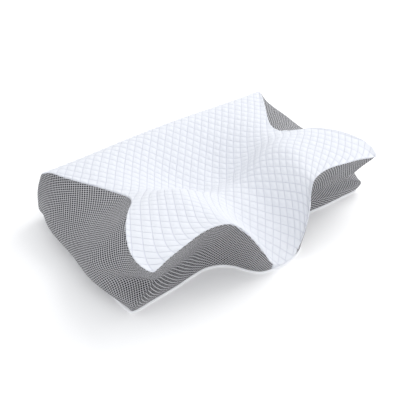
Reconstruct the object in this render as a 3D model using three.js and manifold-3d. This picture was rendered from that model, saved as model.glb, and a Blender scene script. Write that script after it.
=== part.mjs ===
// Contoured neck pillow: one moulded foam block in a two-piece liner and a zipped cover sewn from panels.
// Millimetres, +Z up, +X to the pillow's right, +Y to its back. It lies on its flat base at z = 0, and its
// origin is the middle of its footprint.
//
// The pillow is worked out as a stack of closed skins, one inside the other, that all have the same net of
// points: a grid over the top, rows of points round the walls, and the base outline. Each cover panel is the
// slab between two skins over its own patch of the net, so neighbours meet edge to edge along their seams.

import Module from "manifold-3d";
import * as THREE from "three";
import { mergeVertices } from "three/addons/utils/BufferGeometryUtils.js";

// ---- driving dimensions -------------------------------------------------------------------------------

const PANEL = 3; // thickness of the cover's fabrics
const LINER = 0.8; // thickness of the inner liner
const CLEAR = 0.3; // gap between one layer and the next
const FOAM_CLEAR = 1.4; // gap between the foam and the liner round it
const SEAM_GAP = 0.3; // how far each panel's edge stays back from its seam line
const RIM = 4; // height of the base panel's turned-up edge

const BACK_Y = 205; // the straight back seam of the top
const BACK_SWELL = 9; // how far the back wall stands out past its seams
const SIDE_SWELL = 48; // how far the side walls swell past the straight line from base to seam
const NOTCH = [38, 16]; // depth of the notch under each wing tip, from the side and from the front
const NOSE = 0.1; // how far the wall under a notch stands out, as a share of the notch's depth
const NOTCH_FROM = 0.5; // where a notch begins, as a share of the way from the middle of the front to a tip
const NOTCH_FADE = 0.36; // where it has died out, as a share of the way along the side
const ARM_HOLLOW = 14; // how far the front walls are hollowed for the arms
const ARM_FROM = 0.25; // where that hollow begins, and over what share of the half front it deepens
const ARM_RAMP = 0.3;
const SWELL_RAMP = 0.2; // the share of the side over which its swell dies out at the back corner

// Half outlines from the middle of the front, round the right side: the top seam and the base edge.
const FRONT_SEAM = [
  [0, -214],
  [32, -212],
  [53, -208],
  [70, -198],
  [84, -184],
  [103, -170],
  [130, -162],
  [162, -161],
  [197, -167],
  [238, -174],
  [279, -181],
];
const FRONT_BASE = [
  [0, -212],
  [30, -208],
  [52, -200],
  [68, -181],
  [82, -157],
  [102, -138],
  [130, -128],
  [162, -129],
  [200, -133],
  [250, -135],
  [302, -136],
];
const SIDE_SEAM = [
  [279, -181],
  [289, -153],
  [283, -119],
  [264, -80],
  [238, -44],
  [212, -12],
  [198, 22],
  [210, 68],
  [233, 104],
  [256, 138],
  [276, 170],
  [292, BACK_Y],
];
const SIDE_BASE = [
  [302, -136],
  [303, -116],
  [304, -92],
  [305, -64],
  [306, -34],
  [306, -4],
  [306, 28],
  [306, 68],
  [305, 104],
  [304, 138],
  [303, 170],
  [299, BACK_Y],
];

// Heights of the top: along the middle from the lip to the back, and along the shoulders that run from the
// wings to the back corners. Each pair is [y, height].
const MIDDLE = [
  [-214, 12],
  [-203, 26],
  [-184, 43],
  [-155, 58],
  [-117, 73],
  [-79, 83],
  [-45, 84],
  [-15, 72],
  [15, 58],
  [45, 57],
  [80, 69],
  [115, 88],
  [150, 106],
  [185, 120],
  [BACK_Y, 117],
];
const SHOULDER = [
  [-214, 122],
  [-184, 128],
  [-136, 136],
  [-85, 143],
  [-45, 142],
  [-10, 131],
  [20, 119],
  [60, 111],
  [140, 118],
  [185, 121],
  [BACK_Y, 110],
];
// How far from the middle the top starts to rise to its shoulders, and where it gets there: [y, distance].
const RISE_START = [
  [-214, 18],
  [-140, 18],
  [-60, 12],
  [0, 14],
  [50, 22],
  [120, 30],
  [BACK_Y, 20],
];
const RISE_END = [
  [-214, 102],
  [-140, 122],
  [-75, 142],
  [-25, 150],
  [20, 185],
  [60, 200],
  [120, 218],
  [BACK_Y, 250],
];

// Cells of the net: across the front or back, along each side, and the heights of the wall rows as shares of
// the way from the rim to the top seam. The third row is the crease of the notches.
const ACROSS = 20;
const ALONG = 16;
const ROWS = [0, 0.2, 0.4, 0.6, 0.8, 1];
const NOTCH_ROW = 0.4;
const BACK_ROWS_TOP = 106; // the back wall's lower rows are level, as if the seam were this high
const LIP_HALF_WIDTH = 40; // the top panel runs down to the base between these seams

// Zip across the back wall. It is drawn closed, with its slider at the right-hand end.
const ZIP_ROW = 2; // the wall row that the zip's opening takes up
const ZIP_HALF_LENGTH = 262;
const TAPE_THICK = 0.6;
const TAPE_SET_IN = 0.3; // how far the tapes lie inside the back wall's face
const TEETH = { gap: 1.6, wide: 2.4, thick: 2 }; // gap is between the two rows
const STOP = { long: 3, beyond: 0.4 }; // the stops lie this far beyond the teeth
const SLIDER = { x: 248, long: 12, wide: 9, plate: 1, clear: 0.4, post: 0.8, postLong: 3 };
const BAIL = { long: 8, wide: 2.4, bar: 0.9, legs: 1.8, room: 1.9 }; // the loop that the pull tab hangs on
const TAB = { long: 24, wide: 7, thick: 1.2, arm: 1.4, slot: 6.5 };
const LABEL = { x: -226, z: 14, long: 30, high: 14, thick: 0.5, clear: 0.4 };

// ---- curves and heights -------------------------------------------------------------------------------

const clamp01 = (t) => Math.min(1, Math.max(0, t));
const mix = (a, b, t) => a + (b - a) * t;
const ease = (t) => clamp01(t) ** 2 * (3 - 2 * clamp01(t));

/** A smooth curve through evenly counted points, at the share t of the way along their count. */
function along(points, t) {
  const spans = points.length - 1;
  const i = Math.min(spans - 1, Math.floor(t * spans));
  const f = t * spans - i;
  const at = (k) => points[Math.min(spans, Math.max(0, k))];
  return [0, 1].map((axis) => {
    const [a, b, c, d] = [i - 1, i, i + 1, i + 2].map((k) => at(k)[axis]);
    const [bend, turn] = [2 * a - 5 * b + 4 * c - d, 3 * (b - c) + d - a];
    return 0.5 * (2 * b + (c - a) * f + bend * f * f + turn * f * f * f);
  });
}

/** A smooth height from [y, height] pairs. */
function heightAt(pairs, y) {
  const last = pairs.length - 1;
  if (y <= pairs[0][0]) return pairs[0][1];
  if (y >= pairs[last][0]) return pairs[last][1];
  const i = pairs.findIndex((pair, k) => k < last && y < pairs[k + 1][0]);
  const slope = (k) => {
    const [a, b] = [pairs[Math.max(0, k - 1)], pairs[Math.min(last, k + 1)]];
    return (b[1] - a[1]) / (b[0] - a[0]);
  };
  const [[y0, h0], [y1, h1]] = [pairs[i], pairs[i + 1]];
  const span = y1 - y0;
  const t = (y - y0) / span;
  const start = h0 * (1 + 2 * t) * (1 - t) ** 2 + slope(i) * span * t * (1 - t) ** 2;
  return start + h1 * t * t * (3 - 2 * t) + slope(i + 1) * span * t * t * (t - 1);
}

/** Height of the pillow's top over the point (x, y). */
function topHeight(x, y) {
  const middle = heightAt(MIDDLE, y);
  const shoulder = heightAt(SHOULDER, y);
  const start = heightAt(RISE_START, y);
  const end = heightAt(RISE_END, y);
  return mix(middle, shoulder, ease((Math.abs(x) - start) / (end - start)));
}

// ---- the outlines, once round -------------------------------------------------------------------------

/** Whose wall starts at step k of the way round, and how far along that wall the step is. */
function wallAt(k) {
  if (k < ACROSS) return ["front", k / ACROSS];
  if (k < ACROSS + ALONG) return ["right", (k - ACROSS) / ALONG];
  if (k < 2 * ACROSS + ALONG) return ["back", (k - ACROSS - ALONG) / ACROSS];
  return ["left", (k - 2 * ACROSS - ALONG) / ALONG];
}

/** The seam point, base point and wall shape at step k of the way round, from the left end of the front. */
function station(k) {
  const [wall, t] = wallAt(k);
  if (wall === "front") return frontStation(2 * t - 1);
  if (wall === "right") return sideStation(1, t);
  if (wall === "back" || t === 0) return backStation(wall === "back" ? 1 - 2 * t : -1);
  return sideStation(-1, 1 - t);
}

function frontStation(u) {
  const side = Math.sign(u);
  const [seamX, seamY] = along(FRONT_SEAM, Math.abs(u));
  const [baseX, baseY] = along(FRONT_BASE, Math.abs(u));
  const notch = ease((Math.abs(u) - NOTCH_FROM) / (1 - NOTCH_FROM));
  const hollow = ARM_HOLLOW * ease((Math.abs(u) - ARM_FROM) / ARM_RAMP) * (1 - notch);
  const [seam, base] = [[side * seamX, seamY], [side * baseX, baseY]];
  return { seam, base, side, notch, swell: [0, hollow] };
}

function sideStation(side, t) {
  const [seamX, seamY] = along(SIDE_SEAM, t);
  const [baseX, baseY] = along(SIDE_BASE, t);
  const notch = 1 - ease(t / NOTCH_FADE);
  const swell = mix(BACK_SWELL, SIDE_SWELL, ease((1 - t) / SWELL_RAMP)) * (1 - notch);
  const [seam, base] = [[side * seamX, seamY], [side * baseX, baseY]];
  return { seam, base, side, notch, swell: [side * swell, 0] };
}

function backStation(u) {
  const [[seamEndX], [baseEndX, baseY]] = [SIDE_SEAM.at(-1), SIDE_BASE.at(-1)];
  const endSwell = Math.abs(u) === 1 ? Math.sign(u) * BACK_SWELL : 0;
  const [seam, base] = [[seamEndX * u, BACK_Y], [baseEndX * u, baseY]];
  return { isBack: true, seam, base, swell: [endSwell, BACK_SWELL] };
}

const ROUND = 2 * (ACROSS + ALONG);
const STATIONS = Array.from({ length: ROUND }, (_, k) => station(k));

/** How far a wall stands out from the straight line between base and seam, a share f of the way up. */
function standOut({ isBack, side, notch, swell }, f) {
  const [x, y] = swell;
  if (isBack) {
    const level = ease(f / ROWS[1]) * (1 - clamp01((f - NOTCH_ROW) / (1 - NOTCH_ROW)) ** 2);
    return new THREE.Vector3(x * level, y * level, 0);
  }
  const bow = Math.sin(Math.PI * f);
  const nose = NOSE * Math.sin((Math.PI * f) / NOTCH_ROW) - (f / NOTCH_ROW) ** 4;
  const cut = notch * (f < NOTCH_ROW ? nose : -(1 - f) / (1 - NOTCH_ROW));
  return new THREE.Vector3(x * bow + side * NOTCH[0] * cut, y * bow - NOTCH[1] * cut, 0);
}

// ---- the net ------------------------------------------------------------------------------------------

const topId = (i, j) => i * (ALONG + 1) + j;
const TOP_COUNT = (ACROSS + 1) * (ALONG + 1);
const LEVELS = ROWS.length; // wall levels under the seam: the base edge, the rim, and the rows between

/** The point of the top grid that a station's seam point is. */
function seamId(k) {
  const step = k % ROUND;
  if (step < ACROSS) return topId(step, 0);
  if (step < ACROSS + ALONG) return topId(ACROSS, step - ACROSS);
  if (step < 2 * ACROSS + ALONG) return topId(2 * ACROSS + ALONG - step, ALONG);
  return topId(0, ROUND - step);
}

const wallId = (k, level) => (level === LEVELS ? seamId(k) : TOP_COUNT + (k % ROUND) * LEVELS + level);

/** Plan position of the top grid's point (i, j): a patch stretched between the four seams. */
function topPlan(i, j) {
  const [u, v] = [i / ACROSS, j / ALONG];
  const front = STATIONS[i % ROUND].seam;
  const back = STATIONS[2 * ACROSS + ALONG - i].seam;
  const right = STATIONS[ACROSS + j].seam;
  const left = STATIONS[(ROUND - j) % ROUND].seam;
  const cornerSteps = [0, ACROSS, 2 * ACROSS + ALONG, ACROSS + ALONG];
  const corners = cornerSteps.map((k) => STATIONS[k].seam);
  return [0, 1].map((axis) => {
    const [frontLeft, frontRight, backLeft, backRight] = corners.map((corner) => corner[axis]);
    const flat = mix(mix(frontLeft, frontRight, u), mix(backLeft, backRight, u), v);
    return mix(front[axis], back[axis], v) + mix(left[axis], right[axis], u) - flat;
  });
}

/** Height of a wall row on the pillow's outside. */
function rowHeight({ isBack }, seamHeight, f) {
  if (!isBack) return mix(RIM, seamHeight, f);
  const level = mix(RIM, BACK_ROWS_TOP, f);
  const above = clamp01((f - ROWS[2]) / (1 - ROWS[2]));
  return level + (seamHeight - BACK_ROWS_TOP) * above;
}

/** Every point of the net on the pillow's outside. */
function outsidePoints() {
  const points = [];
  for (let i = 0; i <= ACROSS; i += 1) {
    for (let j = 0; j <= ALONG; j += 1) {
      const [x, y] = topPlan(i, j);
      points[topId(i, j)] = new THREE.Vector3(x, y, topHeight(x, y));
    }
  }
  for (let k = 0; k < ROUND; k += 1) {
    const seam = points[seamId(k)];
    const foot = new THREE.Vector3(...STATIONS[k].base, 0);
    points[wallId(k, 0)] = foot;
    ROWS.slice(0, -1).forEach((f, row) => {
      const point = foot.clone().lerp(seam, f).add(standOut(STATIONS[k], f));
      points[wallId(k, row + 1)] = point.setZ(rowHeight(STATIONS[k], seam.z, f));
    });
  }
  return points;
}

/** Turns a four-cornered face on the left, so that its diagonal mirrors the right half's. */
const mirrored = ([a, b, c, d], isLeft) => (isLeft ? [b, c, d, a] : [a, b, c, d]);

/** Whether the wall between stations k and k + 1 is on the pillow's left. */
const onLeft = (k) => STATIONS[k].seam[0] + STATIONS[(k + 1) % ROUND].seam[0] < 0;

/** The net's faces, each with the name of the panel it belongs to. */
function netFaces() {
  const faces = [];
  for (let i = 0; i < ACROSS; i += 1) {
    for (let j = 0; j < ALONG; j += 1) {
      const corners = [topId(i, j), topId(i + 1, j), topId(i + 1, j + 1), topId(i, j + 1)];
      faces.push({ panel: "top_panel", corners: mirrored(corners, i < ACROSS / 2) });
    }
  }
  for (let k = 0; k < ROUND; k += 1) {
    for (let level = 0; level < LEVELS; level += 1) {
      const [foot, head] = [level, level + 1].map((row) => [wallId(k, row), wallId(k + 1, row)]);
      const corners = [...foot, head[1], head[0]];
      faces.push({ panel: wallPanel(k, level), corners: mirrored(corners, onLeft(k)) });
    }
  }
  const outline = STATIONS.map(({ base }) => new THREE.Vector2(...base));
  for (const triangle of THREE.ShapeUtils.triangulateShape(outline, [])) {
    const corners = triangle.map((k) => wallId(k, 0));
    const [a, b, c] = triangle.map((k) => outline[k]);
    const facesUp = b.clone().sub(a).cross(c.clone().sub(a)) > 0;
    faces.push({ panel: "base_panel", corners: facesUp ? corners.reverse() : corners });
  }
  return faces;
}

/** Which panel covers the wall between stations k and k + 1 at this level. */
function wallPanel(k, level) {
  if (level === 0) return "base_panel";
  const [wall] = wallAt(k);
  const middle = (STATIONS[k].seam[0] + STATIONS[(k + 1) % ROUND].seam[0]) / 2;
  if (wall === "left") return "side_panel_left";
  if (wall === "right") return "side_panel_right";
  if (wall === "front") {
    if (Math.abs(middle) < LIP_HALF_WIDTH) return "top_panel";
    return middle < 0 ? "front_panel_left" : "front_panel_right";
  }
  const inZip = level === ZIP_ROW && Math.abs(middle) < ZIP_HALF_LENGTH;
  if (inZip) return "zip_opening";
  return level < ZIP_ROW ? "back_panel_lower" : "back_panel_upper";
}

// ---- solids from the net ------------------------------------------------------------------------------

const fan = (corners) => corners.slice(2).map((corner, n) => [corners[0], corners[n + 1], corner]);

const FACES = netFaces();
const OUTSIDE = outsidePoints();
const LONGEST_STEP = 2.5; // per millimetre of depth, at a sharp fold
const EVENING = 0.35; // how far each step is drawn towards its neighbours'
const INWARD = inwardSteps();

/**
 * How each point moves for every millimetre of depth, so that all the faces round it move in by about one:
 * the least-squares answer to "normal . step = -1" over those faces.
 */
function inwardSteps() {
  const nearNothing = 0.002; // keeps the answer steady where all the faces lie in one plane
  const sums = OUTSIDE.map(() => ({
    squares: new THREE.Matrix3().multiplyScalar(nearNothing),
    total: new THREE.Vector3(),
  }));
  for (const triangle of FACES.flatMap(({ corners }) => fan(corners))) {
    const [a, b, c] = triangle.map((id) => OUTSIDE[id]);
    const n = b.clone().sub(a).cross(c.clone().sub(a)).normalize();
    for (const id of triangle) {
      const m = sums[id].squares.elements;
      n.toArray().forEach((p, row) => n.toArray().forEach((q, column) => {
        m[3 * column + row] += p * q;
      }));
      sums[id].total.sub(n);
    }
  }
  return evened(sums.map(({ squares, total }) => {
    return total.applyMatrix3(squares.invert()).clampLength(0, LONGEST_STEP);
  }));
}

/** The steps, each above the base panel drawn a little towards those of the points it shares an edge with. */
function evened(steps) {
  const near = steps.map(() => []);
  for (const { corners } of FACES) {
    corners.forEach((a, n) => {
      const b = corners[(n + 1) % corners.length];
      near[a].push(steps[b]);
      near[b].push(steps[a]);
    });
  }
  const kept = new Set(FACES.filter(({ panel }) => panel === "base_panel").flatMap(({ corners }) => corners));
  return steps.map((step, id) => {
    const total = near[id].reduce((sum, next) => sum.add(next), new THREE.Vector3());
    return kept.has(id) ? step : step.clone().lerp(total.divideScalar(near[id].length), EVENING);
  });
}

/** Every point of the net on the skin that lies this deep inside the pillow. */
function skin(depth) {
  const points = OUTSIDE.map((point, id) => point.clone().addScaledVector(INWARD[id], depth));
  const rim = Math.max(RIM, depth + 1);
  for (let k = 0; k < ROUND; k += 1) {
    const [top, outerTop] = [points[seamId(k)].z, OUTSIDE[seamId(k)].z];
    points[wallId(k, 0)].z = depth;
    for (let level = 1; level < LEVELS; level += 1) {
      const id = wallId(k, level);
      const share = (OUTSIDE[id].z - RIM) / (outerTop - RIM);
      points[id].z = mix(rim, top, share);
    }
  }
  return points;
}

function geometryOf(points, triangles) {
  const geometry = new THREE.BufferGeometry();
  geometry.setAttribute("position", new THREE.Float32BufferAttribute(points.flatMap((p) => p.toArray()), 3));
  geometry.setIndex(triangles.flat());
  geometry.computeVertexNormals();
  return geometry;
}

/** Where the corner between two edges goes when each moves by one unit along its own direction. */
const mitre = (a, b) => a.clone().add(b).divideScalar(1 + a.dot(b));

/** The slab between two skins over the faces that belong to it, kept back a little from its seams. */
function slab(belongs, outerDepth, innerDepth) {
  const faces = FACES.filter((face) => belongs(face.panel));
  const [outer, inner] = [skin(outerDepth), skin(innerDepth)];
  const edges = new Map();
  for (const { corners } of faces) {
    corners.forEach((a, n) => {
      const b = corners[(n + 1) % corners.length];
      if (!edges.delete(`${b}_${a}`)) edges.set(`${a}_${b}`, [a, b]);
    });
  }
  const runsAt = new Map([...edges.values()].flat().map((id) => [id, []]));
  for (const [a, b] of edges.values()) {
    const run = outer[b].clone().sub(outer[a]).normalize();
    [a, b].forEach((id) => runsAt.get(id).push(run));
  }
  for (const [id, runs] of runsAt) {
    const through = outer[id].clone().sub(inner[id]).normalize();
    const [first, second] = runs.map((run) => through.clone().cross(run).normalize());
    const step = mitre(first, second).multiplyScalar(SEAM_GAP);
    outer[id].add(step);
    inner[id].add(step);
  }
  const used = [...new Set(faces.flatMap((face) => face.corners))];
  const place = new Map(used.map((id, n) => [id, n]));
  const points = [...used.map((id) => outer[id]), ...used.map((id) => inner[id])];
  const [out, into] = [(id) => place.get(id), (id) => place.get(id) + used.length];
  const triangles = faces.flatMap(({ corners }) => [
    ...fan(corners.map(out)),
    ...fan(corners.map(into)).map((triangle) => triangle.reverse()),
  ]);
  for (const [a, b] of edges.values()) {
    const edge = [out(b), out(a), into(a), into(b)];
    triangles.push(...fan(a < b ? [...edge.slice(1), edge[0]] : edge)); // both panels cut it the same way
  }
  return geometryOf(points, triangles);
}

/** Everything inside the skin at this depth. */
function filled(depth) {
  return geometryOf(skin(depth), FACES.flatMap(({ corners }) => fan(corners)));
}

// ---- materials and nodes ------------------------------------------------------------------------------

const material = (color, roughness, metalness = 0) =>
  new THREE.MeshStandardMaterial({ color, roughness, metalness });
const WHITE_KNIT = [0xf4f5f9, 0.85];
const GREY_MESH = [0x77777c, 0.9];
const LINER_KNIT = [0xe9e9e6, 0.95];
const FOAM = [0xf6f2e4, 0.95];
const ZIP_GREY = [0x5b5c61, 0.7];
const ZIP_METAL = [0xb4b7bb, 0.35, 0.9];
const SATIN_WHITE = [0xfafafa, 0.6];

const pillow = new THREE.Group();

function add(name, geometry, finish) {
  const mesh = new THREE.Mesh(geometry, material(...finish));
  mesh.name = name;
  pillow.add(mesh);
  return mesh;
}

/** A box between two corners. */
function block([x0, y0, z0], [x1, y1, z1]) {
  const box = new THREE.BoxGeometry(x1 - x0, y1 - y0, z1 - z0);
  return box.translate((x0 + x1) / 2, (y0 + y1) / 2, (z0 + z1) / 2);
}

const wasm = await Module();
wasm.setup();

/** A manifold solid of a closed geometry. */
function solid(geometry) {
  const bare = geometry.clone();
  bare.deleteAttribute("normal");
  bare.deleteAttribute("uv");
  const merged = mergeVertices(bare);
  return new wasm.Manifold(
    new wasm.Mesh({
      numProp: 3,
      vertProperties: new Float32Array(merged.attributes.position.array),
      triVerts: new Uint32Array(merged.index.array),
    }),
  );
}

/** The geometry of a manifold solid. */
function geometryFrom(shape) {
  const mesh = shape.getMesh();
  const geometry = new THREE.BufferGeometry();
  geometry.setAttribute("position", new THREE.BufferAttribute(new Float32Array(mesh.vertProperties), 3));
  geometry.setIndex([...mesh.triVerts]);
  geometry.computeVertexNormals();
  return geometry;
}

/** One geometry of several that touch or overlap. */
const joined = (geometries) => geometryFrom(geometries.map(solid).reduce((sum, next) => sum.add(next)));

// ---- foam, liner and cover ----------------------------------------------------------------------------

const LINER_OUTSIDE = PANEL + CLEAR;
const LINER_INSIDE = LINER_OUTSIDE + LINER;

/** The foam block, cut back where the liner's sharpest folds would touch it. */
function foamGeometry(belongs) {
  const depths = [LINER_INSIDE, LINER_INSIDE + 2 * CLEAR]; // the liner, and the liner with room inside it
  const liners = depths.map((depth) => solid(slab(belongs, LINER_OUTSIDE, depth)));
  const whole = solid(filled(LINER_INSIDE + FOAM_CLEAR));
  const parts = liners.reduce((rest, liner) => rest.subtract(liner), whole).decompose();
  return geometryFrom(parts.reduce((most, next) => (next.volume() > most.volume() ? next : most)));
}

function addSoftLayers() {
  const isBase = (panel) => panel === "base_panel";
  add("foam_core", foamGeometry((panel) => !isBase(panel)), FOAM);
  add("liner_upper", slab((panel) => !isBase(panel), LINER_OUTSIDE, LINER_INSIDE), LINER_KNIT);
  add("liner_base", slab(isBase, LINER_OUTSIDE, LINER_INSIDE), LINER_KNIT);
  const white = ["top_panel", "base_panel"];
  const grey = ["side_panel", "front_panel"].flatMap((name) => [`${name}_left`, `${name}_right`]);
  grey.push("back_panel_upper", "back_panel_lower");
  for (const name of white) add(name, slab((panel) => panel === name, 0, PANEL), WHITE_KNIT);
  for (const name of grey) add(name, slab((panel) => panel === name, 0, PANEL), GREY_MESH);
}

// ---- zip ----------------------------------------------------------------------------------------------

const BACK_FACE = BACK_Y + BACK_SWELL; // the back wall's level face, round the zip
const ZIP_LOW = mix(RIM, BACK_ROWS_TOP, ROWS[1]);
const ZIP_HIGH = mix(RIM, BACK_ROWS_TOP, ROWS[2]);
const ZIP_MIDDLE = (ZIP_LOW + ZIP_HIGH) / 2;
const TAPE_FACE = BACK_FACE - TAPE_SET_IN;
const TEETH_Y = TAPE_FACE - TAPE_THICK / 2;
const TEETH_FROM = TEETH.gap / 2; // distances above and below the zip's middle line
const TEETH_TO = TEETH_FROM + TEETH.wide;
const TAPE_FROM = TEETH_TO + CLEAR;
const TAPE_TO = (ZIP_HIGH - ZIP_LOW) / 2 - 2 * CLEAR;
const TEETH_HALF_LENGTH = ZIP_HALF_LENGTH - 2 * STOP.long;

/** A box on the zip: it spans x0 to x1, y0 to y1, and low to high above or below the middle line. */
function zipBlock([x0, x1], [y0, y1], [low, high], up = 1) {
  const [z0, z1] = [ZIP_MIDDLE + up * low, ZIP_MIDDLE + up * high].sort((p, q) => p - q);
  return block([x0, y0, z0], [x1, y1, z1]);
}

function addZipRows() {
  const teethDepth = [TEETH_Y - TEETH.thick / 2, TEETH_Y + TEETH.thick / 2];
  const stopFrom = TEETH_HALF_LENGTH + STOP.beyond;
  for (const [half, up] of [["upper", 1], ["lower", -1]]) {
    const [tape, tapeDepth] = [[-ZIP_HALF_LENGTH, ZIP_HALF_LENGTH], [TAPE_FACE - TAPE_THICK, TAPE_FACE]];
    add(`zip_tape_${half}`, zipBlock(tape, tapeDepth, [TAPE_FROM, TAPE_TO], up), ZIP_GREY);
    const teeth = [-TEETH_HALF_LENGTH, TEETH_HALF_LENGTH];
    add(`zip_teeth_${half}`, zipBlock(teeth, teethDepth, [TEETH_FROM, TEETH_TO], up), ZIP_GREY);
    const topStop = [stopFrom, stopFrom + STOP.long];
    add(`zip_top_stop_${half}`, zipBlock(topStop, teethDepth, [TEETH_FROM, TEETH_TO], up), ZIP_METAL);
  }
  const bottomStop = [-stopFrom - STOP.long, -stopFrom];
  add("zip_bottom_stop", zipBlock(bottomStop, teethDepth, [-TEETH_TO, TEETH_TO]), ZIP_METAL);
}

const PLATE_BACK = TEETH_Y + TEETH.thick / 2 + SLIDER.clear; // the slider's outer plate lies from here
const PLATE_FACE = PLATE_BACK + SLIDER.plate;
const TAB_Y = PLATE_FACE + BAIL.room / 2; // the pull tab's pivot
const SINK = 0.1; // how far parts of one piece run into each other

/** The slider: plates on both sides of the teeth, a post between them, and the loop for the pull tab. */
function sliderGeometry() {
  const { x, long, wide, plate, post, postLong } = SLIDER;
  const across = (length) => [x - length / 2, x + length / 2];
  const innerFace = TEETH_Y - TEETH.thick / 2 - SLIDER.clear;
  const loopTop = PLATE_FACE + BAIL.room + BAIL.bar;
  const parts = [
    zipBlock(across(long), [PLATE_BACK, PLATE_FACE], [-wide / 2, wide / 2]),
    zipBlock(across(long), [innerFace - plate, innerFace], [-wide / 2, wide / 2]),
    zipBlock(across(postLong), [innerFace - SINK, PLATE_BACK + SINK], [-post / 2, post / 2]),
    zipBlock(across(BAIL.long), [loopTop - BAIL.bar, loopTop], [-BAIL.wide / 2, BAIL.wide / 2]),
  ];
  for (const side of [-1, 1]) {
    const outer = x + (side * BAIL.long) / 2;
    const leg = [outer, outer - side * BAIL.legs].sort((p, q) => p - q);
    parts.push(zipBlock(leg, [PLATE_FACE - SINK, loopTop - SINK], [-BAIL.wide / 2, BAIL.wide / 2]));
    const lip = [PLATE_BACK - SLIDER.clear, PLATE_BACK + SINK];
    parts.push(zipBlock(across(long), lip, [wide / 2 - plate, wide / 2], side));
  }
  return joined(parts);
}

/** The pull tab: a plate with a slot, whose crossbar runs through the slider's loop. */
function tabGeometry() {
  const { long, wide, thick, arm, slot } = TAB;
  const depth = [TAB_Y - thick / 2, TAB_Y + thick / 2];
  const [bar, end] = [SLIDER.x + thick / 2, SLIDER.x - long];
  const parts = [
    zipBlock([bar - thick, bar], depth, [-wide / 2, wide / 2]),
    zipBlock([end, SLIDER.x - slot], depth, [-wide / 2, wide / 2]),
  ];
  for (const side of [-1, 1]) {
    parts.push(zipBlock([SLIDER.x - slot - SINK, bar], depth, [wide / 2 - arm, wide / 2], side));
  }
  return joined(parts);
}

// ---- care label ---------------------------------------------------------------------------------------

/** A blank label that lies against the sloping strip of back wall under the zip. */
function labelGeometry() {
  const rise = ZIP_LOW - RIM;
  const lean = Math.atan2(BACK_SWELL, rise);
  const wallY = BACK_Y + (BACK_SWELL * (LABEL.z - RIM)) / rise;
  const out = LABEL.clear + LABEL.thick / 2;
  const label = new THREE.BoxGeometry(LABEL.long, LABEL.thick, LABEL.high).rotateX(-lean);
  return label.translate(LABEL.x, wallY + out * Math.cos(lean), LABEL.z - out * Math.sin(lean));
}

// ---- assembly -----------------------------------------------------------------------------------------

addSoftLayers();
addZipRows();
add("zip_slider", sliderGeometry(), ZIP_METAL);
add("zip_pull_tab", tabGeometry(), ZIP_METAL);
add("care_label", labelGeometry(), SATIN_WHITE);

const footprint = new THREE.Box3().setFromObject(pillow);
pillow.position.y = -(footprint.min.y + footprint.max.y) / 2;

export default pillow;
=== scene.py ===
"""The looks of the contoured neck pillow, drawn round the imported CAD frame.

Metres, +Z up, in the frame's own axes. The cover's net of points is read back from the CAD panels, drawn
out to a fine smooth surface, and cut into the fabric panels again, each with its quilting, seams and weave.
"""

import math

import bmesh
import bpy
import numpy as np
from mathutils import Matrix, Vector
from mathutils.bvhtree import BVHTree
from mathutils.kdtree import KDTree


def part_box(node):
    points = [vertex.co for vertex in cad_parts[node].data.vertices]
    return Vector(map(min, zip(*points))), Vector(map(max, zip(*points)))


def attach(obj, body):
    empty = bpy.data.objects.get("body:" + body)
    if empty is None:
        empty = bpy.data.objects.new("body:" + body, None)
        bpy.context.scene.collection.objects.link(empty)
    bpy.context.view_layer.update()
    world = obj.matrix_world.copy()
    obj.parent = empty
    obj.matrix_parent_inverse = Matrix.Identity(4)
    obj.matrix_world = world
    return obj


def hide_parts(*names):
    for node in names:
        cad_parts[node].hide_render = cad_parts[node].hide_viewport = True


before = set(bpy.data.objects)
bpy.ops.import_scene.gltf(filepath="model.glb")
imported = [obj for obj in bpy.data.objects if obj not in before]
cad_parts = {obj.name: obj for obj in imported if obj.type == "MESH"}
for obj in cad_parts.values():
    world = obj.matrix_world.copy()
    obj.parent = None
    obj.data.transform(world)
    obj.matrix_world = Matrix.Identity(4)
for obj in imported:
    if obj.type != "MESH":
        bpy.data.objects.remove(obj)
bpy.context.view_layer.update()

MM = 0.001
UP = np.array([0.0, 0.0, 1.0])
ASKEW = UP + 0.01  # a direction that no tube follows

# ---- sizes ---------------------------------------------------------------------------------------

PANEL = 3 * MM  # thickness of the cover's fabrics, as in the CAD
SEAM_REACH = 2 * MM  # the outlines of two sewn panels are nearer than this
FINE = 12  # fine cells along each cell of the CAD net
WALL_FINE = 8
EDGE_POWER = 1.5  # fine cells crowd towards the seams by this power

QUILT_X = 20 * MM  # diagonals of the quilted diamonds
QUILT_Y = 25.5 * MM
QUILT_PUFF = 1.5 * MM
QUILT_SOFT = 0.05  # rounds the bottom of the channels
QUILT_FADE = 2 * MM  # the quilting dies out this near a seam
ROUND_OVER = 8 * MM  # the top rolls over to its seam from this far in
ROUND_RISE = 3.5 * MM
ROUND_OUT = 1.5 * MM  # how far that roll stands out past the seam
WING_FROM = 0.1  # it fades out from this share of the way back from the front corners
WING_FADE = 0.3  # and over this share
CORNER_ROUND = 0.3  # how far the front corners are drawn in towards their neighbours
SIDE_EVENING = 0.5  # how far the side walls' points are drawn towards their neighbours
EVENINGS = 3  # and how often
SIDE_FILL = 15 * MM  # how much fuller the side walls are than the CAD's, at the waists
FILL_FROM = 0.1  # the filling starts at this share of the way back
FILL_SPAN = 0.75  # and takes up this share
RIM_ROUND = 1.6 * MM  # how far the base's turned-up edge bulges
RIM_ROWS = 6
TIP_DROP = 4.5 * MM  # the wing tips are rounded off by this much
TIP_REACH = 26 * MM  # within about this distance
TIP_STATIONS = 1.2  # and, round the walls, within about this many stations
LIP_BLEND = 0.12  # stations over which the top's seam begins beside the lip
LIP_TURN = 8 * MM  # the quilting turns from the top's normal to the wall's this near the lip
NO_SEAM_TOP = 0.5  # added to the top's distance from its seam where the lip has none
NO_SEAM_WALL = 1.0  # and to the walls'
GROOVE = 1.3 * MM  # how far the fabrics sink into a seam
GROOVE_WIDTH = 2.2 * MM  # about half of the groove's width
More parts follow.
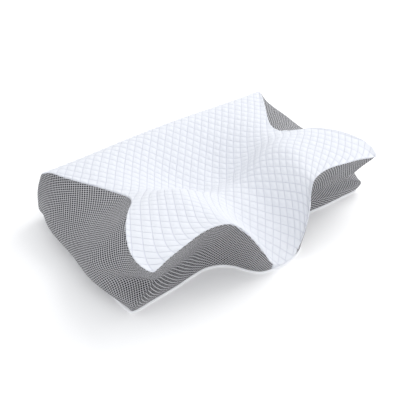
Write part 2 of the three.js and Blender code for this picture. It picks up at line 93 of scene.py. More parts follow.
SHEET = 1.2 * MM  # thickness of the drawn fabric
TURNED_IN = 1.0 * MM  # the seam allowance runs this far into the pillow
LINER_DEPTH = 3.9 * MM  # the liner lies this deep under the cover's surface
LINER_SHEET = 0.6 * MM
FOAM_DEPTH = 5.2 * MM  # and the foam this deep
FOOT_RISE = 1.5 * MM  # the inner layers' walls start at least this far above their base
MITRE_REACH = 22 * MM  # the inner layers draw back from the top seam's sharp edge over this distance
SHEET_REACH = 9 * MM  # and the inner faces of the cover's panels over this one
SHARPEST = 0.3  # limits how far they do so where the edge is sharpest

MESH_PITCH = 4.5 * MM  # from one hole of the mesh to the next
COIL_PITCH = 1.5 * MM  # from turn to turn of the zip's coil
COIL_WIRE = 0.75 * MM
COIL_STEPS = 8
COIL_NOSE = 0.35  # how much narrower the turns are where the rows meet
TAPE_CELLS = (260, 12)  # along and across a zip tape
TAPE_CORD = 0.25 * MM  # how far the cord in the tape's inner edge stands out
CORD_AT = 0.09  # where it lies, and half of its width, as shares of the tape's
CORD_WIDE = 0.07
TAPE_RIPPLE = 0.06 * MM
RIPPLE_LONG = 9 * MM
TAPE_STITCH = {"long": 2.4 * MM, "sunk": 0.2 * MM, "height": 0.22 * MM, "radius": 0.17 * MM}
TAPE_STITCH_PITCH = 3.4 * MM
TAPE_MARGIN = 2 * MM  # from the tape's end to its first stitch
TAPE_STITCH_ROWS = (0.55, 0.82)  # shares of the tape's width
SLIDER_EDGE = 0.22 * MM  # how far the metal's edges are rounded
STOP_EDGE = 0.3 * MM

LABEL_CELLS = (36, 18)  # along and down the care label
LABEL_CURL = 0.5 * MM  # how far its lower edge curls out, and its corners beyond that
LABEL_CORNER_CURL = 0.9 * MM
LABEL_WAVE = 0.15 * MM
LABEL_WAVES = 5
LABEL_SEAM = 0.82  # how far up the stitches run, as a share of half the label's height
LABEL_SEAM_DIP = 0.25 * MM
LABEL_SEAM_WIDE = 0.06
LABEL_STITCH = {"long": 2 * MM, "sunk": 0.05 * MM, "height": 0.25 * MM, "radius": 0.16 * MM}
LABEL_STITCH_PITCH = 3 * MM
LABEL_MARGIN = 1.5 * MM

FLOOR_TONE = (0.97, 0.97, 0.97, 1)
WORLD_LIGHT = 1.0
LAMPS = [  # name, place, size and power in watts
    ("key", (2.3, 0.2, 1.9), 2.4, 46.0),
    ("fill", (-1.2, -2.2, 1.8), 2.5, 9.0),
]
LAMP_AIM = Vector((0, 0, 0.05))
CAMERA_TURN = math.radians(-37.79)
CAMERA_RISE = math.radians(38.47)
CAMERA_AIM = Vector((-0.0614, -0.0517, 0.07))
CAMERA_AWAY = 1.1474
LENS, SENSOR = 50, 36  # millimetres


# ---- outlines of grids ---------------------------------------------------------------------------


def edge_runs(ring, grid):
    """A ring of values as the runs along a grid's front, back, left and right edges."""
    m, n = grid.shape[:2]
    back = ring[n + m - 2 : 2 * n + m - 2][::-1]
    left = np.concatenate([ring[:1], ring[2 * n + m - 3 :][::-1]])
    return ring[:n], back, left, ring[n - 1 : n + m - 1]


def spread_runs(ring, grid):
    """The same runs, shaped to be spread over the whole grid."""
    front, back, left, right = edge_runs(ring, grid)
    return front[None], back[None], left[:, None], right[:, None]


def set_edges(grid, ring):
    """Replaces a grid's outline with a ring of values."""
    grid[0], grid[-1], grid[:, 0], grid[:, -1] = edge_runs(ring, grid)


def outline(grid):
    """The values along a grid's outline, as a ring."""
    return np.concatenate([grid[0, :-1], grid[:-1, -1], grid[-1, :0:-1], grid[:0:-1, 0]])


# ---- the net, read back from the CAD -------------------------------------------------------------


def welded(name):
    """A CAD node's points and triangles, with the corners that its faces share made one."""
    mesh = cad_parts[name].data
    places = np.array([v.co for v in mesh.vertices])
    points, index = np.unique(np.round(places, 7), axis=0, return_inverse=True)
    return points, index.reshape(-1)[np.array([p.vertices for p in mesh.polygons])]


def liner_tree():
    """Both liner pieces, as something to measure distances to."""
    points, triangles = [], []
    for name in ("liner_upper", "liner_base"):
        more, faces = welded(name)
        triangles += [[int(c) + len(points) for c in face] for face in faces]
        points += [Vector(p) for p in more]
    return BVHTree.FromPolygons(points, triangles)


LINER = liner_tree()


def outside_of(name):
    """The points of a CAD panel, and which points its outer faces join, as {point: its neighbours}."""
    points, triangles = welded(name)
    outer = np.array([LINER.find_nearest(Vector(p))[3] > PANEL / 2 for p in points])
    near = {}
    for face in triangles[outer[triangles].all(axis=1)]:
        for corner in face:
            near.setdefault(int(corner), set()).update(int(c) for c in face if c != corner)
    return points, near


def path(members, near, points, axis):
    """These points in the order that edges join them, from the end that is lower along an axis, or None."""
    members = set(members)
    ends = [p for p in members if len(near[p] & members) < 2]
    if len(ends) != 2:
        return None
    at = min(ends, key=lambda p: points[p][axis])
    order, left = [at], members - {at}
    while left:
        at = next(iter(near[at] & left))
        order.append(at)
        left.discard(at)
    return order


def rows_from(start, near, points, axis):
    """The rows of a grid of points as arrays of places, from its first row on."""
    rows = [path(start, near, points, axis)]
    used = set(rows[0])
    while True:
        ring = {n for p in rows[-1] for n in near[p]} - used
        row = path(ring, near, points, axis) if ring else None
        if row is None:
            return [points[r] for r in rows]
        rows.append(row)
        used |= ring


def wall_rows(name, axis, beside):
    """A wall panel's rows, from the one that lies along another panel."""
    points, near = outside_of(name)
    other, _ = outside_of(beside)
    tree = KDTree(len(other))
    for i, p in enumerate(other):
        tree.insert(p, i)
    tree.balance()
    start = [p for p in near if tree.find(points[p])[2] < SEAM_REACH]
    return rows_from(start, near, points, axis)


def read_net():
    """The top's grid [row from the front, column from the left] and the walls' [level, station].

    Level 0 is the base outline, level 1 the seam over the base panel's turned-up edge, and the last the top
    seam. Stations run from the left end of the front to the right, and on round the pillow.
    """
    points, near = outside_of("top_panel")
    back_y = max(points[p][1] for p in near)
    rows = rows_from([p for p in near if points[p][1] > back_y - SEAM_REACH], near, points, 0)
    across = len(rows[0])
    top = np.array([row for row in rows if len(row) == across][::-1])
    lip = [row for row in rows if len(row) < across][::-1]
    sides = {s: wall_rows(f"side_panel_{s}", 1, "base_panel") for s in ("left", "right")}
    fronts = {s: wall_rows(f"front_panel_{s}", 0, "base_panel") for s in ("left", "right")}
    back = wall_rows("back_panel_lower", 0, "base_panel")
    back += wall_rows("back_panel_upper", 0, "top_panel")[::-1]
    levels = []
    for level in range(len(back)):
        left, right = fronts["left"][level], fronts["right"][level]
        middle = lip[level] if level < len(lip) else top[0][len(left) - 1 : across - len(right) + 1]
        rest = [sides["right"][level], back[level][::-1], sides["left"][level][::-1]]
        levels.append(joined_ring([left, middle, right, *rest]))
    walls = np.array(levels)
    set_edges(top, walls[-1])
    return top, np.concatenate([walls[:1] * [1, 1, 0], walls])


def joined_ring(parts):
    """Runs of places that follow on each other, as one closed run with each shared place once."""
    ring = [np.array(parts[0], float)]
    for part in parts[1:]:
        last = ring[-1]
        last[-1] = (last[-1] + part[0]) / 2
        ring.append(np.array(part[1:], float))
    ring = np.concatenate(ring)
    ring[0] = (ring[0] + ring[-1]) / 2
    return ring[:-1]


def softened_net(top, walls):
    """The net with its front corners rounded and its side walls evened out between their ends."""
    across, along = top.shape[1] - 1, top.shape[0] - 1
    for k in (0, across):
        walls[:, k, 0] += CORNER_ROUND * ((walls[:, k - 1, 0] + walls[:, k + 1, 0]) / 2 - walls[:, k, 0])
    run = np.arange(1, along)
    up = np.sin(math.pi * np.arange(len(walls) - 2) / (len(walls) - 2))
    for side, start, back in ((1, across, run / along), (-1, 2 * across + along, 1 - run / along)):
        inner = start + run
        for _ in range(EVENINGS):
            between = (walls[1:-1, inner - 1] + walls[1:-1, (inner + 1) % walls.shape[1]]) / 2
            walls[1:-1, inner] += SIDE_EVENING * (between - walls[1:-1, inner])
        fuller = np.sin(math.pi * np.clip((back - FILL_FROM) / FILL_SPAN, 0, 1))
        walls[1:-1, inner, 0] += side * SIDE_FILL * np.outer(up, fuller)
    top[0, 0], top[0, -1] = walls[-1, 0], walls[-1, across]
    return top, walls


# ---- the fine surface ----------------------------------------------------------------------------


def spline(count, at, closed=False):
    """Weights that turn values at whole steps into values at places on a smooth curve through them."""
    weights = np.zeros((len(at), count))
    spans = count if closed else count - 1
    for row, t in enumerate(at):
        i = min(int(t), spans - 1)
        f = t - i
        parts = (
            0.5 * (-f + 2 * f**2 - f**3),
            0.5 * (2 - 5 * f**2 + 3 * f**3),
            0.5 * (f + 4 * f**2 - 3 * f**3),
            0.5 * (f**3 - f**2),
        )
        for k, part in zip(range(i - 1, i + 3), parts):
            weights[row, k % count if closed else min(max(k, 0), count - 1)] += part
    return weights


def crowded(cells, fine):
    """Places along a run of cells, closer together near its two ends."""
    inner = [cell + n / fine for cell in range(1, cells - 1) for n in range(fine)]
    first = [(n / fine) ** EDGE_POWER for n in range(fine)]
    last = [cells - t for t in reversed(first)]
    return np.array(first + inner + [cells - 1] + last)


def drawn_out(top, walls):
    """The fine top and wall grids, which share the top seam's points, and where those lie on the net."""
    along, across = top.shape[:2]
    u, v = crowded(across - 1, FINE), crowded(along - 1, FINE)
    loop = np.concatenate([
        u[:-1],
        across - 1 + v[:-1],
        across + along - 2 + (across - 1 - u[::-1])[:-1],
        2 * across + along - 3 + (along - 1 - v[::-1])[:-1],
    ])
    rise = 1 + crowded(len(walls) - 2, WALL_FINE)
    ring = np.einsum("fk,lkc->lfc", spline(walls.shape[1], loop, closed=True), walls)
    fine_walls = np.einsum("rl,lfc->rfc", spline(len(walls) - 1, rise - 1), ring[1:])
    fine_walls = np.concatenate([ring[:1] * [1, 1, 0], fine_walls])
    fine_top = np.einsum("vj,ui,jic->vuc", spline(along, v), spline(across, u), top)
    off = spread_runs(fine_walls[-1] - outline(fine_top), fine_top)
    away = (v[:, None], along - 1 - v[:, None], u[None], across - 1 - u[None])
    fine_top = fine_top + sum(fading(distance) * run for distance, run in zip(away, off))
    set_edges(fine_top, fine_walls[-1])
    return fine_top, fine_walls, u, loop, rise


def fading(distance, reach=1.0):
    """From 1 at no distance to 0 at this reach, as a factor for places."""
    return np.clip(1 - distance / reach, 0, 1)[..., None]


# ---- seams and quilting on the fine surface ------------------------------------------------------


def unit(vectors):
    return vectors / np.maximum(np.linalg.norm(vectors, axis=-1, keepdims=True), 1e-12)


def smooth(t):
    t = np.clip(t, 0, 1)
    return t * t * (3 - 2 * t)


def run_lengths(points, axis, keep=(1, 1, 1)):
    """How far along its row or column each point is, measured over the axes of space that keep picks."""
    step = np.linalg.norm(np.diff(points, axis=axis) * keep, axis=2)
    start = np.zeros_like(np.take(step, [0], axis=axis))
    return np.cumsum(np.concatenate([start, step], axis=axis), axis=axis)


def nearest(values, value):
    """Where in a run of values the nearest one to a value is."""
    return int(np.argmin(np.abs(values - value)))


def from_edges(grid):
    """How far each point of a grid is from its front, back, left and right edges, along the grid."""
    back, across = run_lengths(grid, 0), run_lengths(grid, 1)
    return back, back[-1] - back, across, across[:, [-1]] - across


def groove_at(distance):
    """How deep the fabric sinks at a distance from a seam, as a share of its deepest."""
    return np.exp(-((distance / GROOVE_WIDTH) ** 2))


def grid_normals(points, closed=False):
    """Outward normals of a grid whose rows run anticlockwise or left to right, and climb or go back."""
    if closed:
        wide = np.concatenate([points[:, -1:], points, points[:, :1]], axis=1)
        over = (wide[:, 2:] - wide[:, :-2]) / 2
    else:
        over = np.gradient(points, axis=1)
    return unit(np.cross(over, np.gradient(points, axis=0)))


def quilt(x, s):
    """Height of the quilting, from 0 in a channel to 1 in the middle of a diamond."""
    ridge = 1.0
    for turn in (1, -1):
        wave = np.sin(math.pi * (x / QUILT_X + turn * s / QUILT_Y)) ** 2
        ridge = ridge * (np.sqrt(wave + QUILT_SOFT) - math.sqrt(QUILT_SOFT))
    return ridge / (math.sqrt(1 + QUILT_SOFT) - math.sqrt(QUILT_SOFT)) ** 2


class Cover:
    """The cover's fine surface: grids of points, outward steps and fabric places, for top and walls."""

    def __init__(self):
        net_top, net_walls = softened_net(*read_net())
        self.top, self.walls, self.u, self.loop, self.rise = drawn_out(net_top, net_walls)
        self.across, self.along = net_top.shape[1] - 1, net_top.shape[0] - 1
        self.levels = len(net_walls)
        middle = self.across // 2
        self.lip = (middle - 1, middle + 1)  # the top panel runs down to the base between these stations
        self.corners = (0, self.across, self.across + self.along, 2 * self.across + self.along)
        self.bare_top = self.top.copy()
        self.place_fabric()
        self.shape_walls()
        self.shape_top()
        self.top_step, self.walls_step = self.mitred(self.top, self.walls, self.top_out, SHEET_REACH)

    def seamless(self, stations):
        """From 1 where the top runs on down the lip to 0 where a seam lies between top and wall."""
        beyond = np.abs(stations - self.across / 2) - 1
        return 1 - smooth(beyond / LIP_BLEND)

    def on_wings(self, stations):
        """From 1 round the wings and their front edges to 0 at the waists, the back and the lip."""
        from_front = np.minimum(np.abs(stations - self.across), 2 * self.across + 2 * self.along - stations)
        from_front = np.where(stations <= self.across, 0, from_front) / self.along
        return (1 - smooth((from_front - WING_FROM) / WING_FADE)) * (1 - self.seamless(stations))

    def near_tips(self, stations):
        """1 at the two wing tips, falling away over a station or two."""
        from_left = np.minimum(stations, 2 * (self.across + self.along) - stations)
        gap = np.minimum(from_left, np.abs(stations - self.across))
        return np.exp(-((gap / TIP_STATIONS) ** 2))

    def place_fabric(self):
        """Where each point lies on its flat fabric, in metres."""
        x = run_lengths(self.top, 1, (1, 0, 1))
        x = x - x[:, [x.shape[1] // 2]]
        s = run_lengths(self.top, 0, (0, 1, 1))
        s = s - s[[-1]] + self.top[-1, 0, 1]
        self.top_fabric = np.stack([x, s], axis=2)
        up = run_lengths(self.walls, 0)
        middle = len(self.walls) // 2
        ring = np.concatenate([self.walls[middle], self.walls[middle][:1]])
        around = run_lengths(ring[None], 1)[0]
        self.round_length = around[-1]
        self.wall_fabric = np.stack([np.broadcast_to(around[:-1], up.shape), up], axis=2)
        down = up[-1] - up
        edge = outline(self.top_fabric)
        self.lip_fabric = np.stack([np.broadcast_to(edge[:, 0], up.shape), edge[:, 1] - down], axis=2)

    def seam_distances(self):
        """How far each wall point is from each seam that crosses or bounds the walls."""
        up = run_lengths(self.walls, 0)
        rows = [up[-1] - up + NO_SEAM_WALL * self.seamless(self.loop), np.abs(up - up[1])]
        steps = np.linalg.norm(np.roll(self.walls, -1, axis=1) - self.walls, axis=2)
        at = np.cumsum(np.concatenate([np.zeros((len(up), 1)), steps], axis=1), axis=1)
        for station in (*self.corners, *self.lip):
            column = nearest(self.loop, station)
            gap = np.abs(at[:, :-1] - at[:, [column]])
            rows.append(np.minimum(gap, at[:, [-1]] - gap))
        return rows

    def shape_walls(self):
        """Drops the walls at the wing tips, and sinks them into their seams."""
        normals = grid_normals(self.walls, closed=True)
        normals[0] = normals[1]
        self.walls_out = normals
        sunk = np.max([groove_at(d) for d in self.seam_distances()], axis=0)
        sunk[0] = groove_at(np.linalg.norm(self.walls[1] - self.walls[0], axis=1))
        up = run_lengths(self.walls, 0)
        drop = TIP_DROP * np.exp(-(((up[-1] - up) / TIP_REACH) ** 2)) * self.near_tips(self.loop)
        self.walls = self.walls - UP * drop[..., None]
        self.bare_walls = self.walls.copy()
        self.walls = self.walls - normals * (GROOVE * sunk)[..., None]
        self.ring_sink = self.walls[-1] - self.bare_walls[-1]

    def top_edges(self):
        """For each edge of the top: how far it and its seam are, and how its seam sinks and faces."""
        away = from_edges(self.top)
        seams = (away[0] + NO_SEAM_TOP * self.seamless(self.u), *away[1:])
        outward = self.walls_out[-1] * [1, 1, 0] * self.on_wings(self.loop)[:, None]
        return list(zip(away, seams, spread_runs(self.ring_sink, self.top), spread_runs(outward, self.top)))

    def rolled(self, distance):
        """How far the top stands out past its edge, at a distance in from it."""
        return ROUND_OUT * np.sin(math.pi * np.sqrt(np.clip(distance / ROUND_OVER, 0, 1)))

    def shape_top(self):
        """Rolls the top over to its seams, rounds off the wing tips, quilts it, and sinks its edges."""
        edges = self.top_edges()
        seam = np.min([d for _, d, _, _ in edges], axis=0)
        inner = np.clip(seam / ROUND_OVER, 0, 1)
        lift = ROUND_RISE * (np.sqrt(1 - (1 - inner) ** 2) - inner)
        puff = QUILT_PUFF * quilt(*np.moveaxis(self.top_fabric, 2, 0)) * smooth(seam / QUILT_FADE)
        pull = sum(groove_at(d)[..., None] * sink for d, _, sink, _ in edges)
        roll = sum(self.rolled(d)[..., None] * out for d, _, _, out in edges)
        most = np.maximum(np.linalg.norm(pull, axis=2), 1e-12)
        limit = np.linalg.norm(self.ring_sink, axis=1).max()
        pull = pull * np.minimum(1, limit / most)[..., None]
        tips = [self.top[0, 0], self.top[0, -1]]
        fall = sum(np.exp(-((np.linalg.norm(self.top - tip, axis=2) / TIP_REACH) ** 2)) for tip in tips)
        self.top = self.top + UP * (lift - TIP_DROP * fall)[..., None] + roll
        normals = grid_normals(self.top)
        lip_out = self.walls_out[-1][: len(self.u)]
        share = (0.5 * np.exp(-edges[0][0] / LIP_TURN) * self.seamless(self.u))[..., None]
        self.top_out = unit(normals * (1 - share) + lip_out * share)
        self.top = self.top + self.top_out * puff[..., None] + pull
        self.shape_lip(normals[0])
        set_edges(self.top, self.walls[-1])

    def mitred(self, top, walls, top_out, reach):
        """Outward steps for top and walls, turned near their seam so that both keep their depth there."""
        over, beside = outline(top_out), self.walls_out[-2]
        edge = (over + beside) / np.maximum(1 + (over * beside).sum(axis=1), SHARPEST)[:, None]
        for away, turn in zip(from_edges(top), spread_runs(edge - over, top)):
            top_out = top_out + fading(away, reach) * turn
        set_edges(top_out, edge)
        up = run_lengths(walls, 0)
        walls_out = self.walls_out + fading(up[-1] - up, reach) * (edge - beside)
        walls_out[-1] = edge
        return top_out, walls_out

    def shape_lip(self, top_normals):
        """Quilts the strip of wall under the lip, to carry on the top's quilting."""
        n = len(self.u)
        up = run_lengths(self.bare_walls, 0)[:, :n]
        down = up[-1] - up
        share = (0.5 * np.exp(-down / LIP_TURN))[..., None]
        out = unit(self.walls_out[:, :n] * (1 - share) + top_normals[None] * share)
        inside = smooth((1 - np.abs(self.u - self.across / 2)) / LIP_BLEND)
        fade = smooth((up - up[1]) / QUILT_FADE) * inside[None]
        puff = QUILT_PUFF * quilt(*np.moveaxis(self.lip_fabric[:, :n], 2, 0)) * fade
        self.walls[:, :n] += out * puff[..., None]


# ---- panels --------------------------------------------------------------------------------------


def grid_faces(grid):
    """The four-sided faces of a grid of points, which face the way that its normals point."""
    n = np.arange(grid.shape[0] * grid.shape[1]).reshape(grid.shape[:2])
    return np.stack([n[:-1, :-1], n[:-1, 1:], n[1:, 1:], n[1:, :-1]], axis=2).reshape(-1, 4)


def patch(points, out, fabric):
    """A grid of points as (points, outward steps, fabric places, faces)."""
    return points.reshape(-1, 3), out.reshape(-1, 3), fabric.reshape(-1, 2), grid_faces(points)


def merged(patches):
    """Several patches as one, with the points they share made one and their outward steps averaged."""
    starts = np.cumsum([0, *(len(piece[0]) for piece in patches)])
    faces = np.concatenate([piece[3] + start for piece, start in zip(patches, starts)])
    points, out, fabric = (np.concatenate(values) for values in list(zip(*patches))[:3])
    _, first, index = np.unique(np.round(points, 7), axis=0, return_index=True, return_inverse=True)
    index = index.reshape(-1)
    total = np.zeros((len(first), 3))
    np.add.at(total, index, out)
    return points[first], total / np.bincount(index)[:, None], fabric[first], index[faces]


def boundary(faces):
    """The edges that one face only uses, each running the way its face does."""
    edges = np.concatenate([faces[:, [k, (k + 1) % 4]] for k in range(4)])
    keys = edges.min(axis=1) * (edges.max() + 1) + edges.max(axis=1)
    _, where, uses = np.unique(keys, return_inverse=True, return_counts=True)
    return edges[uses[where.reshape(-1)] == 1]


def rim_ring(rim):
    """The points of one closed rim in the order that a face closing it takes them."""
    after = dict(zip(rim[:, 1].tolist(), rim[:, 0].tolist()))
    ring = [int(rim[0, 1])]
    while after[ring[-1]] != ring[0]:
        ring.append(after[ring[-1]])
    return ring


def sheet_faces(faces, rim, count):
    """A surface's faces, the same turned round for the points count later, and those along its rim."""
    sides = np.stack([rim[:, 1], rim[:, 0], rim[:, 0] + count, rim[:, 1] + count], axis=1)
    return np.concatenate([faces, faces[:, ::-1] + count, sides])


def thickened(points, out, faces, rim, sheet, turned_in):
    """A surface as a closed sheet this thick, whose edge runs on into the pillow along a rim."""
    depth = np.full(len(points), sheet)
    depth[np.unique(rim)] += turned_in
    return np.concatenate([points, points - out * depth[:, None]]), sheet_faces(faces, rim, len(points))


def two_sided(front, back):
    """Two grids of points, one behind the other, as a closed sheet."""
    faces = grid_faces(front)
    points = np.concatenate([front.reshape(-1, 3), back.reshape(-1, 3)])
    return points, sheet_faces(faces, boundary(faces), len(points) // 2)


def make_closed(name, points, faces, fabric=None):
    """A mesh object with its many-sided faces cut into triangles and all its faces turned outward."""
    piece = make(name, points, faces, fabric)
    shape = bmesh.new()
    shape.from_mesh(piece.data)
    wide = [f for f in shape.faces if len(f.verts) > 4]
    bmesh.ops.triangulate(shape, faces=wide)
    bmesh.ops.recalc_face_normals(shape, faces=shape.faces)
    shape.to_mesh(piece.data)
    shape.free()
    return piece


def make(name, points, faces, fabric=None, flat=False):
    """A mesh object; fabric gives each point's place on the flat cloth, as its UV in metres."""
    mesh = bpy.data.meshes.new(name)
    mesh.from_pydata([tuple(p) for p in points], [], [[int(c) for c in f] for f in faces])
    mesh.update()
    if fabric is not None:
        layer = mesh.uv_layers.new(name="fabric")
        corners = np.zeros(len(mesh.loops), np.int32)
        mesh.loops.foreach_get("vertex_index", corners)
        layer.data.foreach_set("uv", np.asarray(fabric, np.float32)[corners].reshape(-1))
    mesh.polygons.foreach_set("use_smooth", [not flat] * len(mesh.polygons))
    obj = bpy.data.objects.new(name, mesh)
    bpy.context.scene.collection.objects.link(obj)
    return obj


def finish_piece(obj, body, slot, material, *nodes):
    """Rides a piece on its body, gives it its finish, and has it stand for these CAD nodes."""
    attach(obj, body)
    if nodes:
        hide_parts(*nodes)
    obj.data.materials.clear()
    obj.data.materials.append(material)


def finish_soft(piece, slot, material, node):
    """The same for a soft piece of the pillow."""
    finish_piece(piece, "pillow", slot, material, node)


def fabric_panel(name, patches, sheet=SHEET, turned_in=TURNED_IN):
    """A closed sheet of fabric with its edges turned in along its seams."""
    points, out, fabric, faces = merged(patches)
    points, faces = thickened(points, out, faces, boundary(faces), sheet, turned_in)
    return make(name, points, faces, np.concatenate([fabric, fabric]))


def wall_patch(cover, stations, levels, fabric=None):
    """The part of the walls between two stations and two levels."""
    first, last = (nearest(cover.loop, station) for station in stations)
    rise = np.concatenate([[0], cover.rise])
    low, high = (nearest(rise, level) for level in levels)
    columns = np.arange(first, last + 1 if last > first else len(cover.loop) + 1) % len(cover.loop)
    pick = np.ix_(range(low, high + 1), columns)
    places = (cover.wall_fabric if fabric is None else fabric)[pick]
    if last <= first:  # the run ends where the ring of stations starts again
        places[:, -1, 0] = cover.round_length
    return patch(cover.walls[pick], cover.walls_step[pick], places)


def make_cover(cover, looks):
    """The cover's panels."""
    _, front_right, back_right, back_left = cover.corners
    top_level = cover.levels - 1
    walls = (1, top_level)
    lip = wall_patch(cover, cover.lip, walls, cover.lip_fabric)
    piece = fabric_panel("quilted_top", [patch(cover.top, cover.top_step, cover.top_fabric), lip])
    finish_soft(piece, "quilted_knit", looks["quilt"], "top_panel")
    spans = {
        "side_panel_right": (front_right, back_right),
        "side_panel_left": (back_left, 0),
        "front_panel_left": (0, cover.lip[0]),
        "front_panel_right": (cover.lip[1], front_right),
    }
    for name, stations in spans.items():
        piece = fabric_panel(name.replace("panel", "mesh"), [wall_patch(cover, stations, walls)])
        finish_soft(piece, "mesh_fabric", looks["mesh"], name)
    rear = (back_right, back_left)
    lower = fabric_panel("back_mesh_lower", [wall_patch(cover, rear, (1, 2))])
    ends = [wall_patch(cover, (start, start + 1), (2, 3)) for start in (back_right, back_left - 1)]
    upper = fabric_panel("back_mesh_upper", [wall_patch(cover, rear, (3, top_level)), *ends])
    finish_soft(lower, "mesh_fabric", looks["mesh"], "back_panel_lower")
    finish_soft(upper, "mesh_fabric", looks["mesh"], "back_panel_upper")


def make_base(cover, looks):
    """The flat base, with its edge turned up to the seam under the walls."""
    columns = np.arange(len(cover.loop) + 1) % len(cover.loop)
    foot, seam, out = (row[columns] for row in (*cover.walls[:2], cover.walls_out[1]))
    share = np.linspace(0, 1, RIM_ROWS)[:, None, None]
    edge = foot + (seam - foot) * share + RIM_ROUND * np.sin(math.pi * share) * unit(out * [1, 1, 0])
    points, out, fabric, faces = merged([patch(edge, np.broadcast_to(out, edge.shape), edge[..., :2])])
    rim = boundary(faces)
    on_floor = (points[rim][..., 2] < MM / 2).all(axis=1)
    ring, count = rim_ring(rim[on_floor]), len(points)
    points, faces = thickened(points, out, faces, rim[~on_floor], SHEET, TURNED_IN)
    points[np.add(ring, count), 2] = SHEET
    flats = [ring, [p + count for p in reversed(ring)]]
    piece = make_closed("base_knit", points, [*faces.tolist(), *flats], np.concatenate([fabric, fabric]))
    piece.data.set_sharp_from_angle(angle=math.radians(40))
    finish_soft(piece, "plain_knit", looks["knit"], "base_panel")


# ---- finishes ------------------------------------------------------------------------------------


class Finish:
    """One procedural material, built up node by node."""

    def __init__(self, name, roughness, metallic=0.0):
        self.material = bpy.data.materials.new(name)
        self.material.use_nodes = True
        self.tree = self.material.node_tree
        self.shader = self.tree.nodes["Principled BSDF"]
        self.set(self.shader, {"Roughness": roughness, "Metallic": metallic})

    def set(self, node, inputs):
        """Gives a node's inputs their values, or links them to the sockets that feed them."""
        for key, value in inputs.items():
            if isinstance(value, bpy.types.NodeSocket):
                self.tree.links.new(value, node.inputs[key])
            else:
                node.inputs[key].default_value = value

    def node(self, kind, inputs=None, **settings):
        """A new node of this kind, with its settings and inputs."""
        node = self.tree.nodes.new(f"ShaderNode{kind}")
        for key, value in settings.items():
            setattr(node, key, value)
        self.set(node, inputs or {})
        return node

    def math(self, operation, *values):
        return self.node("Math", dict(enumerate(values)), operation=operation).outputs[0]

    def ramp(self, value, low, high, to_low=0.0, to_high=1.0):
        """The value, taken smoothly from one range to another."""
        inputs = {"Value": value, "From Min": low, "From Max": high, "To Min": to_low, "To Max": to_high}
        return self.node("MapRange", inputs, interpolation_type="SMOOTHSTEP").outputs[0]

    def mix(self, share, first, second):
        """A colour between two, which are sockets or (red, green, blue)."""
        node = self.node("Mix", data_type="RGBA")
        colours = [c if isinstance(c, bpy.types.NodeSocket) else (*c, 1) for c in (first, second)]
        self.set(node, {0: share, 6: colours[0], 7: colours[1]})
        return node.outputs[2]

    def parts(self, place):
        """A place's three numbers, in metres."""
        return self.node("SeparateXYZ", {0: place}).outputs

    def fabric(self):
        """The fabric place's two numbers."""
        return self.parts(self.node("UVMap", uv_map="fabric").outputs[0])[:2]

    def object_place(self):
        return self.node("TexCoord").outputs["Object"]

    def noise(self, scale, detail=2.0, place=None):
        inputs = {"Vector": place or self.object_place(), "Scale": scale, "Detail": detail}
        return self.node("TexNoise", inputs).outputs[0]

    def bump(self, height, distance, strength=1.0, under=None):
        inputs = {"Height": height, "Distance": distance, "Strength": strength}
        if under is not None:
            inputs["Normal"] = under
        return self.node("Bump", inputs).outputs[0]

    def line_distance(self, across):
        """How far a number is from the nearest whole number, from 0 to a half."""
        fraction = self.math("FRACT", across)
        return self.math("SUBTRACT", 0.5, self.math("ABSOLUTE", self.math("SUBTRACT", fraction, 0.5)))

    def ribs(self, value, pitch):
        """A sine wave that repeats at this pitch."""
        return self.math("SINE", self.math("MULTIPLY", value, 2 * math.pi / pitch))

    def knit(self, x, y, pitch):
        """Height of a fine jersey: rows of small leaning stitches."""
        column = self.math("DIVIDE", x, pitch)
        row = self.math("DIVIDE", y, pitch * 0.75)
        lean = self.math("ABSOLUTE", self.math("SUBTRACT", self.math("FRACT", column), 0.5))
        row = self.math("ADD", row, self.math("MULTIPLY", lean, 1.2))
        stitch = self.math("MULTIPLY", self.ribs(row, 1), 0.5)
        return self.math("ADD", stitch, self.math("MULTIPLY", self.ribs(column, 1), 0.3))

    def done(self, colour, normal=None, roughness=None, sheen=0.0):
        """The material, with what was built plugged into its shader."""
        for key, value in (("Base Color", colour), ("Normal", normal), ("Roughness", roughness)):
            if value is not None:
                self.set(self.shader, {key: value})
        self.set(self.shader, {"Sheen Weight": sheen, "Sheen Roughness": 0.5})
        return self.material


def quilted_knit():
    look = Finish("quilted_knit", 0.85)
    x, y = look.fabric()
    first, second = look.math("DIVIDE", x, QUILT_X), look.math("DIVIDE", y, QUILT_Y)
    lines = [look.line_distance(look.math(op, first, second)) for op in ("ADD", "SUBTRACT")]
    nearest = look.math("MINIMUM", *lines)
    channel = look.ramp(nearest, 0.0, 0.07)
    stitch = look.knit(x, y, 1.1 * MM)
    cloudy = look.noise(18.0)
    crown = look.mix(cloudy, (0.70, 0.72, 0.77), (0.73, 0.75, 0.79))
    # painted shade: the quilting channels are coloured a darker lavender-grey than the puffed crowns
    colour = look.mix(channel, (0.62, 0.64, 0.72), crown)
    deep = look.bump(channel, 0.6 * MM)
    fine = look.bump(stitch, 0.12 * MM, 0.6, deep)
    return look.done(colour, fine, sheen=0.25)


def mesh_fabric():
    look = Finish("mesh_fabric", 0.9)
    x, y = look.fabric()
    u = look.math("DIVIDE", look.math("ADD", x, y), MESH_PITCH * math.sqrt(2))
    v = look.math("DIVIDE", look.math("SUBTRACT", x, y), MESH_PITCH * math.sqrt(2))
    hole = look.math("MINIMUM", look.line_distance(u), look.line_distance(v))
    hole = look.ramp(hole, 0.08, 0.14)
    tone = look.noise(14.0)
    white = look.mix(tone, (0.50, 0.50, 0.52), (0.60, 0.60, 0.62))
    thread = look.knit(x, y, 0.9 * MM)
    colour = look.mix(hole, white, (0.022, 0.022, 0.026))
    height = look.math("ADD", look.math("SUBTRACT", 1.0, hole), look.math("MULTIPLY", thread, 0.12))
    return look.done(colour, look.bump(height, 0.5 * MM, 0.8), sheen=0.1)


